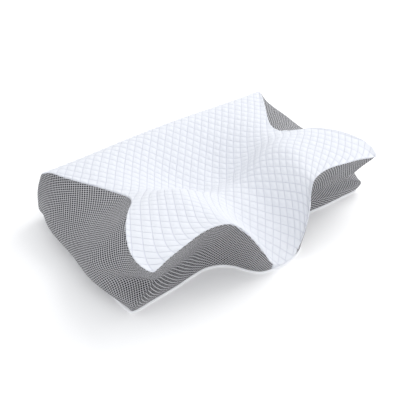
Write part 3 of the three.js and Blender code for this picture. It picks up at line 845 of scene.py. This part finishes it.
def plain_knit(name="plain_knit", colour=(0.90, 0.905, 0.93), pitch=1.3 * MM):
    look = Finish(name, 0.9)
    x, y = look.fabric()
    tone = look.noise(22.0)
    paler = tuple(min(1.0, c * 1.04) for c in colour)
    stitches = look.bump(look.knit(x, y, pitch), 0.25 * MM, 0.7)
    return look.done(look.mix(tone, colour, paler), stitches, sheen=0.2)


def memory_foam():
    look = Finish("memory_foam", 0.95)
    pores = look.node("TexVoronoi", {"Vector": look.object_place(), "Scale": 650.0}).outputs["Distance"]
    open_cell = look.ramp(pores, 0.15, 0.55)
    tone = look.noise(12.0)
    skin = look.mix(tone, (0.90, 0.86, 0.74), (0.95, 0.92, 0.83))
    # painted shade: the open pores are painted a darker, browner yellow than the foam's skin
    return look.done(look.mix(open_cell, (0.72, 0.66, 0.52), skin), look.bump(open_cell, 0.3 * MM, 0.6))


def zip_tape():
    look = Finish("zip_tape", 0.85)
    x, _, z = look.parts(look.object_place())
    weave = look.math("MULTIPLY", look.ribs(x, 0.8 * MM), look.ribs(z, 1.1 * MM))
    # painted shade: the weave's ridges are painted paler and its hollows darker, following its relief
    shade = look.ramp(weave, -1.0, 1.0)
    colour = look.mix(shade, (0.07, 0.07, 0.075), (0.16, 0.16, 0.17))
    return look.done(colour, look.bump(weave, 0.15 * MM, 0.7), sheen=0.15)


def nylon():
    look = Finish("zip_nylon", 0.38)
    tone = look.noise(300.0)
    colour = look.mix(tone, (0.055, 0.055, 0.06), (0.10, 0.10, 0.105))
    return look.done(colour, look.bump(tone, 0.03 * MM, 0.4))


def brushed_metal():
    look = Finish("zip_metal", 0.35, 0.95)
    along = {"Vector": look.object_place(), "Scale": (60.0, 900.0, 900.0)}
    lines = look.noise(1.0, 4.0, look.node("Mapping", along).outputs[0])
    wear = look.noise(420.0)
    colour = look.mix(wear, (0.52, 0.53, 0.55), (0.70, 0.71, 0.73))
    return look.done(colour, look.bump(lines, 0.02 * MM, 0.5), look.ramp(wear, 0.3, 0.7, 0.28, 0.45))


def satin():
    look = Finish("label_satin", 0.42)
    lines = look.ribs(look.parts(look.object_place())[0], 0.5 * MM)
    tone = look.noise(90.0)
    colour = look.mix(tone, (0.88, 0.88, 0.885), (0.96, 0.96, 0.96))
    return look.done(colour, look.bump(lines, 0.05 * MM, 0.5), sheen=0.4)


def thread(name, colour):
    look = Finish(name, 0.6)
    wave = {"Vector": look.object_place(), "Scale": 900.0, "Distortion": 1.0}
    turns = look.node("TexWave", wave).outputs[1]
    darker = tuple(c * 0.8 for c in colour)
    # painted shade: the grooves between the thread's turns are painted darker
    return look.done(look.mix(turns, darker, colour), look.bump(turns, 0.05 * MM, 0.5))


# ---- inner layers --------------------------------------------------------------------------------


def sunk_in(cover, depth):
    """The bare top and walls this deep in the pillow, drawn back from the sharp edge between them."""
    top_out = grid_normals(cover.bare_top)
    top_out, walls_out = cover.mitred(cover.bare_top, cover.bare_walls, top_out, MITRE_REACH)
    return cover.bare_top - top_out * depth, cover.bare_walls - walls_out * depth


def inner_points(cover, depth, base_z):
    """Top and wall grids this deep under the cover's bare shape, one in every few of their points."""
    step, climb = FINE // 3, WALL_FINE // 2
    top, walls = sunk_in(cover, depth)
    top, walls = top[::step, ::step], walls[[1, *range(1 + climb, len(walls), climb)], ::step]
    foot = walls[:1].copy()
    walls[0, :, 2] = np.maximum(walls[0, :, 2], base_z + FOOT_RISE)
    foot[..., 2] = base_z
    set_edges(top, walls[-1])
    return top, np.concatenate([foot, walls])


def closed_block(name, top, walls):
    """Everything under a top grid and inside the wall rows, as one solid with a flat base."""
    around = np.arange(walls.shape[1] + 1) % walls.shape[1]
    walls = walls[:, around]
    patches = [patch(top, top, top[..., :2]), patch(walls, walls, walls[..., [0, 2]])]
    points, _, fabric, faces = merged(patches)
    return make_closed(name, points, [*faces.tolist(), rim_ring(boundary(faces))], fabric)


def plate(name, ring, thick):
    """A flat sheet with this outline, seen from above as running anticlockwise, at its underside."""
    n = len(ring)
    low, high = list(range(n)), list(range(n, 2 * n))
    sides = [[k, (k + 1) % n, (k + 1) % n + n, k + n] for k in low]
    points = np.concatenate([ring, ring + UP * thick])
    return make_closed(name, points, [low[::-1], high, *sides], points[:, :2])


def make_inner_layers(cover, looks):
    """The foam block and the two liner pieces, hidden under the cover."""
    piece = closed_block("foam_block", *inner_points(cover, FOAM_DEPTH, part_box("foam_core")[0][2]))
    finish_soft(piece, "foam", looks["foam"], "foam_core")
    top, walls = inner_points(cover, LINER_DEPTH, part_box("liner_base")[0][2])
    around = [*range(walls.shape[1]), 0]
    upper, upper_out = walls[1:][:, around], grid_normals(walls[1:], closed=True)[:, around]
    patches = [patch(top, grid_normals(top), top[..., :2]), patch(upper, upper_out, upper[..., [0, 2]])]
    bag = fabric_panel("liner_knit_upper", patches, LINER_SHEET, 0.0)
    bottom = plate("liner_knit_base", walls[0], LINER_SHEET)
    finish_soft(bag, "liner", looks["liner"], "liner_upper")
    finish_soft(bottom, "liner", looks["liner"], "liner_base")


# ---- zip -----------------------------------------------------------------------------------------


def tube(line, radius, sides=6):
    """Points and faces of a closed tube along a line."""
    line = np.asarray(line, float)
    ahead = unit(np.gradient(line, axis=0))
    side = unit(np.cross(ahead, ASKEW))
    over = np.cross(ahead, side)
    turn = (2 * math.pi * np.arange(sides) / sides)[None, :, None]
    ring = side[:, None] * np.cos(turn) + over[:, None] * np.sin(turn)
    points = (line[:, None] + radius * ring).reshape(-1, 3)
    n = np.arange(len(line) * sides).reshape(len(line), sides)
    nxt = np.roll(n, -1, axis=1)
    faces = np.stack([n[:-1], n[1:], nxt[1:], nxt[:-1]], axis=2).reshape(-1, 4).tolist()
    return points, [*faces, n[0].tolist(), n[-1][::-1].tolist()]


def gathered(parts):
    """Several (points, faces) as one."""
    points, faces, start = [], [], 0
    for p, f in parts:
        points.append(np.asarray(p))
        faces += [[c + start for c in face] for face in f]
        start += len(p)
    return np.concatenate(points), faces


def stitch(start, along, out, long, sunk, height, radius, steps=5, sides=5):
    """One stitch, which leaves the cloth at its start, arches over it and sinks back."""
    t = np.linspace(0, 1, steps)
    line = start + np.outer(long * t, along) + np.outer(height * np.sin(math.pi * t) - sunk, out)
    return tube(line, radius, sides)


def make_zip(looks):
    """The zip's coils, tapes, slider, pull tab and stops."""
    for half, up in (("upper", 1), ("lower", -1)):
        coil_row(half, up, looks)
        tape_strip(half, up, looks)
    softened("zip_slider", "slider", looks["metal"], SLIDER_EDGE)
    softened("zip_pull_tab", "pull_tab", looks["metal"], SLIDER_EDGE)
    for name in ("zip_top_stop_upper", "zip_top_stop_lower", "zip_bottom_stop"):
        softened(name, "pillow", looks["metal"], STOP_EDGE)


def coil_row(half, up, looks):
    """One row of the zip's nylon coil, wound along the inner edge of its tape."""
    low, high = (np.array(corner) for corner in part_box(f"zip_teeth_{half}"))
    middle, reach = (low + high) / 2, (high - low) / 2 - COIL_WIRE / 2
    turns = round((high[0] - low[0]) / COIL_PITCH)
    t = np.arange(turns * COIL_STEPS + 1) / COIL_STEPS
    x = low[0] + COIL_WIRE + (high[0] - low[0] - 2 * COIL_WIRE) * t / turns
    angle = 2 * math.pi * t + (0 if up > 0 else math.pi)
    nose = 1 - COIL_NOSE * np.maximum(0, -up * np.cos(angle))
    y = middle[1] + reach[1] * np.sin(angle) * nose
    z = middle[2] + reach[2] * np.cos(angle)
    piece = make(f"zip_coil_{half}", *tube(np.stack([x, y, z], axis=1), COIL_WIRE / 2))
    finish_piece(piece, "pillow", "zip_teeth", looks["nylon"], f"zip_teeth_{half}")


def tape_strip(half, up, looks):
    """One zip tape: a woven strip with a corded edge by the coil and two rows of stitching."""
    low, high = (np.array(corner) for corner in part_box(f"zip_tape_{half}"))
    inner, outer = (low[2], high[2]) if up > 0 else (high[2], low[2])
    across = np.linspace(0, 1, TAPE_CELLS[1] + 1)
    x = np.linspace(low[0], high[0], TAPE_CELLS[0] + 1)[:, None]
    cord = TAPE_CORD * (np.exp(-(((across - CORD_AT) / CORD_WIDE) ** 2)) - 1)
    face = high[1] + cord + TAPE_RIPPLE * np.sin(2 * math.pi * x / RIPPLE_LONG) * across
    front = np.stack(np.broadcast_arrays(x, face, inner + (outer - inner) * across), axis=2)
    back = front.copy()
    back[..., 1] = low[1]
    piece = make_closed(f"zip_tape_weave_{half}", *two_sided(front, back))
    finish_piece(piece, "pillow", "zip_tape", looks["tape"], f"zip_tape_{half}")
    stitches = []
    for share in TAPE_STITCH_ROWS:
        for start in np.arange(low[0] + TAPE_MARGIN, high[0] - 2 * TAPE_MARGIN, TAPE_STITCH_PITCH):
            place = (start, high[1], inner + (outer - inner) * share)
            stitches.append(stitch(place, (1, 0, 0), (0, 1, 0), **TAPE_STITCH))
    piece = make_closed(f"zip_stitches_{half}", *gathered(stitches))
    finish_piece(piece, "pillow", "zip_tape", looks["grey_thread"])


def softened(node, body, material, width):
    """A CAD piece again, with its edges rounded."""
    points, triangles = welded(node)
    piece = make(node.replace("zip_", "zip_worn_"), points, triangles.tolist(), flat=True)
    shape = bmesh.new()
    shape.from_mesh(piece.data)
    bmesh.ops.dissolve_limit(shape, angle_limit=math.radians(1), verts=shape.verts, edges=shape.edges)
    sharp = [e for e in shape.edges if e.calc_face_angle(0) > math.radians(30)]
    round_off = {"offset": width, "segments": 3, "profile": 0.5, "affect": "EDGES", "clamp_overlap": True}
    bmesh.ops.bevel(shape, geom=sharp, **round_off)
    bmesh.ops.triangulate(shape, faces=[f for f in shape.faces if len(f.verts) > 4])
    for face in shape.faces:
        face.smooth = True
    shape.to_mesh(piece.data)
    shape.free()
    piece.data.set_sharp_from_angle(angle=math.radians(35))
    finish_piece(piece, body, "zip_metal", material, node)


# ---- care label ----------------------------------------------------------------------------------


def make_label(looks):
    """A blank satin label, sewn down along its top edge, that lies against the back wall."""
    points, _ = welded("care_label")
    middle = points.mean(axis=0)
    _, _, (along, down, out) = np.linalg.svd(points - middle, full_matrices=False)
    along = along * np.sign(along[0])
    down = down * -np.sign(down[2])
    out = out * np.sign(out[1])
    local = (points - middle) @ np.stack([along, down, out]).T
    half = np.abs(local).max(axis=0)
    s, t = (np.linspace(-1, 1, cells + 1) for cells in LABEL_CELLS)
    s, t = np.meshgrid(s, t, indexing="ij")
    lower = (t + 1) / 2
    curl = (LABEL_CURL + LABEL_CORNER_CURL * np.abs(s) ** 6) * lower**2
    curl = curl + 2 * LABEL_WAVE * np.sin(LABEL_WAVES * s) * lower
    fold = LABEL_SEAM_DIP * np.exp(-(((t + LABEL_SEAM) / LABEL_SEAM_WIDE) ** 2))
    place = middle + s[..., None] * along * half[0] + t[..., None] * down * half[1]
    front = place + out * (half[2] + curl - fold)[..., None]
    back = place + out * (-half[2] + curl)[..., None]
    piece = make_closed("care_label_ribbon", *two_sided(front, back))
    finish_piece(piece, "pillow", "label_satin", looks["satin"], "care_label")
    seam = middle - down * half[1] * LABEL_SEAM + out * half[2]
    starts = np.arange(LABEL_MARGIN - half[0], half[0] - 2 * LABEL_MARGIN, LABEL_STITCH_PITCH)
    stitches = [stitch(seam + start * along, along, out, **LABEL_STITCH) for start in starts]
    piece = make_closed("care_label_stitches", *gathered(stitches))
    finish_piece(piece, "pillow", "label_satin", looks["white_thread"])


# ---- stage ---------------------------------------------------------------------------------------


def make_stage():
    """A plain pale floor, soft light and the camera."""
    scene = bpy.context.scene
    floor = make("floor", [(-6, -6, 0), (6, -6, 0), (6, 6, 0), (-6, 6, 0)], [(0, 1, 2, 3)], flat=True)
    floor.data.materials.append(Finish("floor", 0.9).done(FLOOR_TONE))
    world = bpy.data.worlds.new("studio")
    world.use_nodes = True
    light = world.node_tree.nodes["Background"].inputs
    light["Color"].default_value = (0.97, 0.98, 1.0, 1)
    light["Strength"].default_value = WORLD_LIGHT
    scene.world = world
    for name, place, size, power in LAMPS:
        lamp = bpy.data.lights.new(name, "AREA")
        lamp.energy, lamp.size, lamp.color = power, size, (1.0, 0.99, 0.98)
        obj = bpy.data.objects.new(name, lamp)
        scene.collection.objects.link(obj)
        obj.location = place
        obj.rotation_euler = (LAMP_AIM - Vector(place)).to_track_quat("-Z", "Y").to_euler()
    level = math.cos(CAMERA_RISE)
    back = Vector((math.sin(CAMERA_TURN) * level, -math.cos(CAMERA_TURN) * level, math.sin(CAMERA_RISE)))
    camera = bpy.data.cameras.new("camera")
    camera.lens, camera.sensor_width = LENS, SENSOR
    obj = bpy.data.objects.new("camera", camera)
    scene.collection.objects.link(obj)
    obj.location = CAMERA_AIM + back * CAMERA_AWAY
    obj.rotation_euler = (-back).to_track_quat("-Z", "Y").to_euler()
    scene.camera = obj
    scene.view_settings.view_transform = "Standard"


def main():
    cover = Cover()
    looks = {
        "quilt": quilted_knit(),
        "mesh": mesh_fabric(),
        "knit": plain_knit(),
        "liner": plain_knit("liner", (0.82, 0.82, 0.80), 1.6 * MM),
        "foam": memory_foam(),
        "tape": zip_tape(),
        "nylon": nylon(),
        "metal": brushed_metal(),
        "satin": satin(),
        "grey_thread": thread("grey_thread", (0.16, 0.16, 0.17)),
        "white_thread": thread("white_thread", (0.88, 0.88, 0.88)),
    }
    make_cover(cover, looks)
    make_base(cover, looks)
    make_inner_layers(cover, looks)
    make_zip(looks)
    make_label(looks)
    make_stage()


main()
